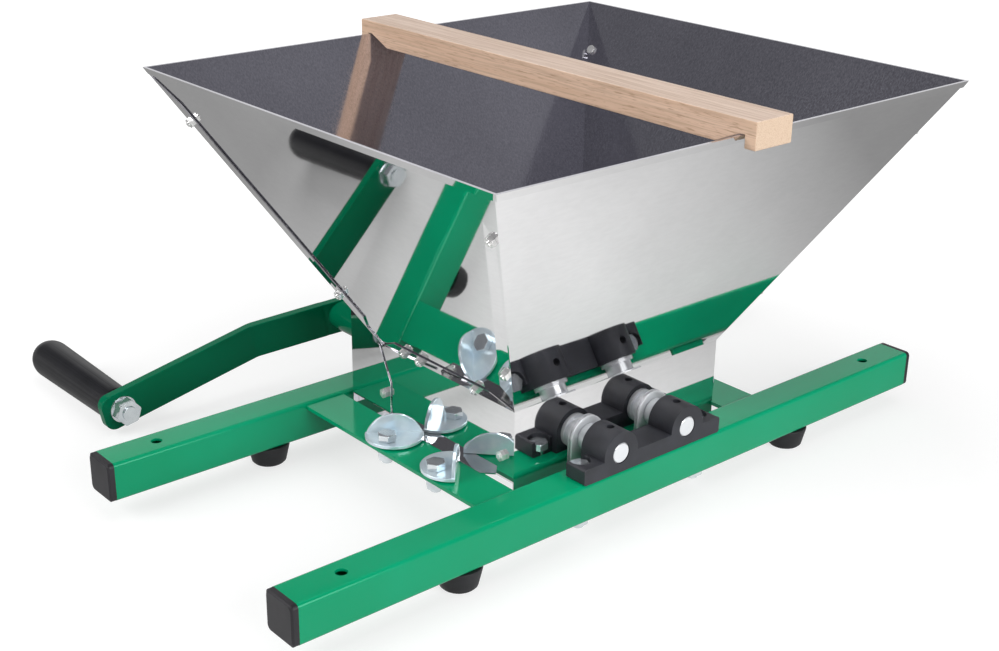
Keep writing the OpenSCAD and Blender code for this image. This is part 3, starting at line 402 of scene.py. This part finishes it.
def turned_steel():
    steel = Finish("shaft_steel", Metallic=0.5)
    steel.set(Base_Color=steel.mix(steel.noise(scale=90), *BRIGHT_STEEL))
    steel.set(Roughness=0.14 + 0.1 * steel.noise(detail=3, stretch=TOOL_MARKS))
    return steel.material


shaft_steel = turned_steel()
eased("wall_seal_discs_turned", "wall_seal_discs", "frame", shaft_steel, edge=0.5 * MM)
for side, body in (("drive", "crank"), ("idler", "idler")):
    for node in (side + "_shaft", side + "_spacers"):
        eased(node + "_turned", node, body, shaft_steel, edge=0.25 * MM)


# The rollers have turned aluminium cores with eight slots along their length. A stainless blade with a
# row of ground teeth sits in each slot.
def plain_metal(name, colour, roughness):
    metal = Finish(name, Metallic=1.0)
    dark = [0.85 * c for c in colour]
    metal.set(Base_Color=metal.mix(metal.noise(scale=50, detail=3), dark, colour))
    metal.set(Roughness=roughness - 0.05 + 0.1 * metal.noise(scale=400))
    return metal.material


roller_alloy = plain_metal("roller_alloy", colour=(0.70, 0.70, 0.72), roughness=0.36)
blade_steel = plain_metal("blade_steel", colour=(0.76, 0.77, 0.78), roughness=0.24)
for side, body in (("drive", "crank"), ("idler", "idler")):
    eased(side + "_roller_core", side + "_roller", body, roller_alloy,
          edge=0.2 * MM, steps=2)
    eased(side + "_blades_ground", side + "_blades", body, blade_steel,
          edge=0.12 * MM, steps=1)

# The gear pair runs in the box behind the far wall: cut steel, lightly oiled, each gear held by a set
# screw in its hub.
gear_steel = plain_metal("gear_steel", colour=(0.40, 0.41, 0.43), roughness=0.34)
for side, body in (("drive", "crank"), ("idler", "idler")):
    eased(side + "_gear_cut", side + "_gear", body, gear_steel, edge=0.3 * MM, steps=2)
    eased(side + "_gear_screw_plated", side + "_gear_screw", body, zinc,
          edge=0.2 * MM, steps=1)

# The crank is a flat bar with two bends, welded to a boss that a lock screw holds on the drive shaft.
# It has the frame's green coat, darkened all over as painted shade. The bar's inner end leans through the
# boss, and the boss ends at the bar's face.
SHAFT = Vector((-34, 0, 45)) * MM
ARM_TILT = radians(11.6)
ARM_LINE = Vector((-cos(ARM_TILT), 0, -sin(ARM_TILT)))
ARM_LEAN = 23 / 60
ARM_NEAR_Y = 211 * MM
HUB_FLAT = 16 * MM


def lean_hub(bm):
    for v in bm.verts:
        v.co.y -= ARM_LEAN * max(0, HUB_FLAT - (v.co - SHAFT).dot(ARM_LINE))


def cut_to_arm(bm):
    on_face = SHAFT + HUB_FLAT * ARM_LINE + Vector((0, ARM_NEAR_Y, 0))
    cut = bmesh.ops.bisect_plane(bm, geom=bm.verts[:] + bm.edges[:] + bm.faces[:], plane_co=on_face,
                                 plane_no=Vector((0, 1, 0)) - ARM_LEAN * ARM_LINE, clear_outer=True)
    rim = [e for e in cut["geom_cut"] if isinstance(e, bmesh.types.BMEdge)]
    bmesh.ops.triangle_fill(bm, edges=rim, use_beauty=True)
    bmesh.ops.recalc_face_normals(bm, faces=bm.faces)


# The crank's colour is the frame's green at 0.48 of its brightness, which is painted shade. Its shine is
# lower too.
shaded_crank_coat = green_coat("crank_coat_painted_shade", depth=0.48, shine=0.12)
for node, shape in (("crank_boss", cut_to_arm), ("crank_arm", lean_hub)):
    eased(node + "_coated", node, "crank", shaded_crank_coat, edge=0.7 * MM, shape=shape)
for node, cut in (("crank_screw", 0.7), ("grip_bolt", 0), ("grip_nut", 1.0)):
    eased(node + "_plated", node, "crank", zinc, edge=0.25 * MM, steps=2, hex_cut=cut * MM)

# The grip is a hollow black moulding that swells towards its round end. It has a fine grain, shinier
# than the blocks', and spins on its bolt.
grip_plastic = moulded("grip_plastic", colour=(0.008, 0.008, 0.010), roughness=0.36, grain=900,
                       depth=0.02 * MM)
eased("crank_grip_moulded", "crank_grip", "grip", grip_plastic, edge=0.5 * MM)

# Four clamp discs hold the hopper's toes down. Each is stamped of 2.5 mm plate, with a tab bent up, and
# has a whiter, duller zinc than the bolts.
white_zinc = zinc_plate("disc_zinc", metallic=0.5, thin=(0.62, 0.76, 0.86), full=(0.86, 0.96, 1.0),
                        roughness=0.12)
for corner in ("left_far", "left_near", "right_far", "right_near"):
    node = "clamp_disc_" + corner
    eased(node + "_stamped", node, "disc_" + corner, white_zinc, edge=0.3 * MM, steps=2)

# The floor is a plain pale sheet that keeps the object's shadow. Camera rays see it nearly white.
# Mirrored and transmitted rays see a painted pool of light on it: a glow, bright in front of the object
# and dark further out, standing in for the light of the studio's lamps on a table.
FLOOR_Z = -17 * MM
FLOOR_HALF = 6.0
FLOOR_GREY = (0.36, 0.36, 0.36)
FLOOR_GLOW = (0.7, 0.7, 0.7)
FLOOR_GLOW_EDGE = (0.35, 0.8)
FLOOR_PAINTED_LIGHT = (0.63, 0.63, 0.63)
FLOOR_PAINTED_SHADE = (0.08, 0.08, 0.08)
FLOOR_PAINTED_LIGHT_AT = (-0.1, -0.15, 0.0)
FLOOR_PAINTED_LIGHT_EDGE = (0.2, 0.6)


def floor_card():
    card = Finish("floor_card", Base_Color=FLOOR_GREY, Roughness=0.9, Specular_IOR_Level=0.0)
    from_painted_light = card.vector("DISTANCE", {0: card.spot(), 1: FLOOR_PAINTED_LIGHT_AT}, "Value")
    from_middle = card.vector("LENGTH", {0: card.spot()}, "Value")
    # Painted light: a glow for mirrored rays, bright near one point in front of the object and dark
    # further out.
    painted_pool = card.mix(card.ramp(from_painted_light, *FLOOR_PAINTED_LIGHT_EDGE), FLOOR_PAINTED_LIGHT, FLOOR_PAINTED_SHADE)
    backdrop = card.mix(card.ramp(from_middle, *FLOOR_GLOW_EDGE), FLOOR_GLOW, WHITE)
    unseen = card.mix(card.mirrored(), BLACK, painted_pool)
    card.set(Emission_Color=card.mix(card.seen_by("Camera"), unseen, backdrop))
    card.set(Emission_Strength=1.0)
    return card.material


bm = bmesh.new()
bmesh.ops.create_grid(bm, x_segments=1, y_segments=1, size=FLOOR_HALF,
                      matrix=Matrix.Translation((0, 0, FLOOR_Z)))
floor_mesh = bpy.data.meshes.new("floor")
bm.to_mesh(floor_mesh)
bm.free()
floor_mesh.materials.append(floor_card())
floor = bpy.data.objects.new("floor", floor_mesh)
bpy.context.scene.collection.objects.link(floor)

# The studio is a white tent that darkens overhead and is a little brighter on the right, with a pale
# backdrop behind the object. A low soft lamp stands in front, a weak one hangs overhead, and a strong
# one stands at the left, a little behind.
TENT_LEVEL = 0.95
TENT_RIGHT = 0.3
TENT_DARKENS = (0.03, 0.22)
TENT_ROOF = (0.15, 0.15, 0.165)
TENT_GREY = (0.2, 0.2, 0.2)
BACKDROP = (0.8, 0.8, 0.8)
BACKDROP_AT = (0.65, 0.76, 0)
BACKDROP_EDGE = (0.62, 0.82)


def studio_world():
    """Camera rays see plain white, mirrored and transmitted rays the tent, and others an even grey."""
    world = bpy.data.worlds.new("studio")
    world.use_nodes = True
    bpy.context.scene.world = world
    tent = Nodes(world.node_tree)
    view = tent.spot("Generated")
    wall = tent.ramp(tent.part_of(view, "Z"), *TENT_DARKENS, first=WHITE, last=TENT_ROOF, easing="EASE")
    level = TENT_LEVEL + TENT_RIGHT * tent.part_of(view, "X")
    lit_wall = tent.vector("SCALE", {0: wall, "Scale": level})
    towards = tent.vector("DOT_PRODUCT", {0: view, 1: BACKDROP_AT}, "Value")
    inside = tent.mix(tent.ramp(towards, *BACKDROP_EDGE), lit_wall, BACKDROP)
    unseen = tent.mix(tent.mirrored(), TENT_GREY, inside)
    sky = world.node_tree.nodes["Background"]
    tent.put(sky.inputs["Color"], tent.mix(tent.seen_by("Camera"), unseen, WHITE))
    tent.put(sky.inputs["Strength"], 1.0)


def soft_lamp(name, place, target, size, watts, mirrored=True):
    lamp = bpy.data.lights.new(name, "AREA")
    lamp.shape = "RECTANGLE"
    lamp.size, lamp.size_y = size
    lamp.energy = watts
    holder = bpy.data.objects.new(name, lamp)
    bpy.context.scene.collection.objects.link(holder)
    holder.location = place
    holder.visible_glossy = mirrored
    holder.rotation_euler = (Vector(target) - Vector(place)).to_track_quat("-Z", "Y").to_euler()


studio_world()
soft_lamp("key_lamp", place=(-0.05, -1.6, 0.6), target=(0, 0, 0.05), size=(1.4, 1.0), watts=24)
soft_lamp("top_lamp", place=(0, -0.1, 1.5), target=(0, 0, 0.1), size=(1.3, 1.3), watts=6.5, mirrored=False)
soft_lamp("left_lamp", place=(-2.0, 0.7, 1.3), target=(0, 0, 0.15), size=(1.4, 1.2), watts=34)

# The camera stands where the photograph was taken: to the left in front, looking down at the rails.
# Its place, turn and focal length are those of the fit that gave the object its sizes.
CAMERA_AT = Vector((-728.6, -803.5, 533.7)) * MM
CAMERA_YAW = radians(-40.8)
CAMERA_DOWN = radians(22.2)
CAMERA_ROLL = radians(0.8)
FOCAL_PIXELS = 1517.4
FRAME_PIXELS = 999
SENSOR_MM = 36.0

camera_data = bpy.data.cameras.new("photo_camera")
camera_data.sensor_fit = "HORIZONTAL"
camera_data.sensor_width = SENSOR_MM
camera_data.lens = FOCAL_PIXELS / FRAME_PIXELS * SENSOR_MM
camera = bpy.data.objects.new("photo_camera", camera_data)
bpy.context.scene.collection.objects.link(camera)
turn = (Matrix.Rotation(CAMERA_YAW, 4, "Z") @ Matrix.Rotation(pi / 2 - CAMERA_DOWN, 4, "X")
        @ Matrix.Rotation(CAMERA_ROLL, 4, "Z"))
camera.matrix_world = Matrix.Translation(CAMERA_AT) @ turn
bpy.context.scene.camera = camera
bpy.context.scene.view_settings.view_transform = "Standard"
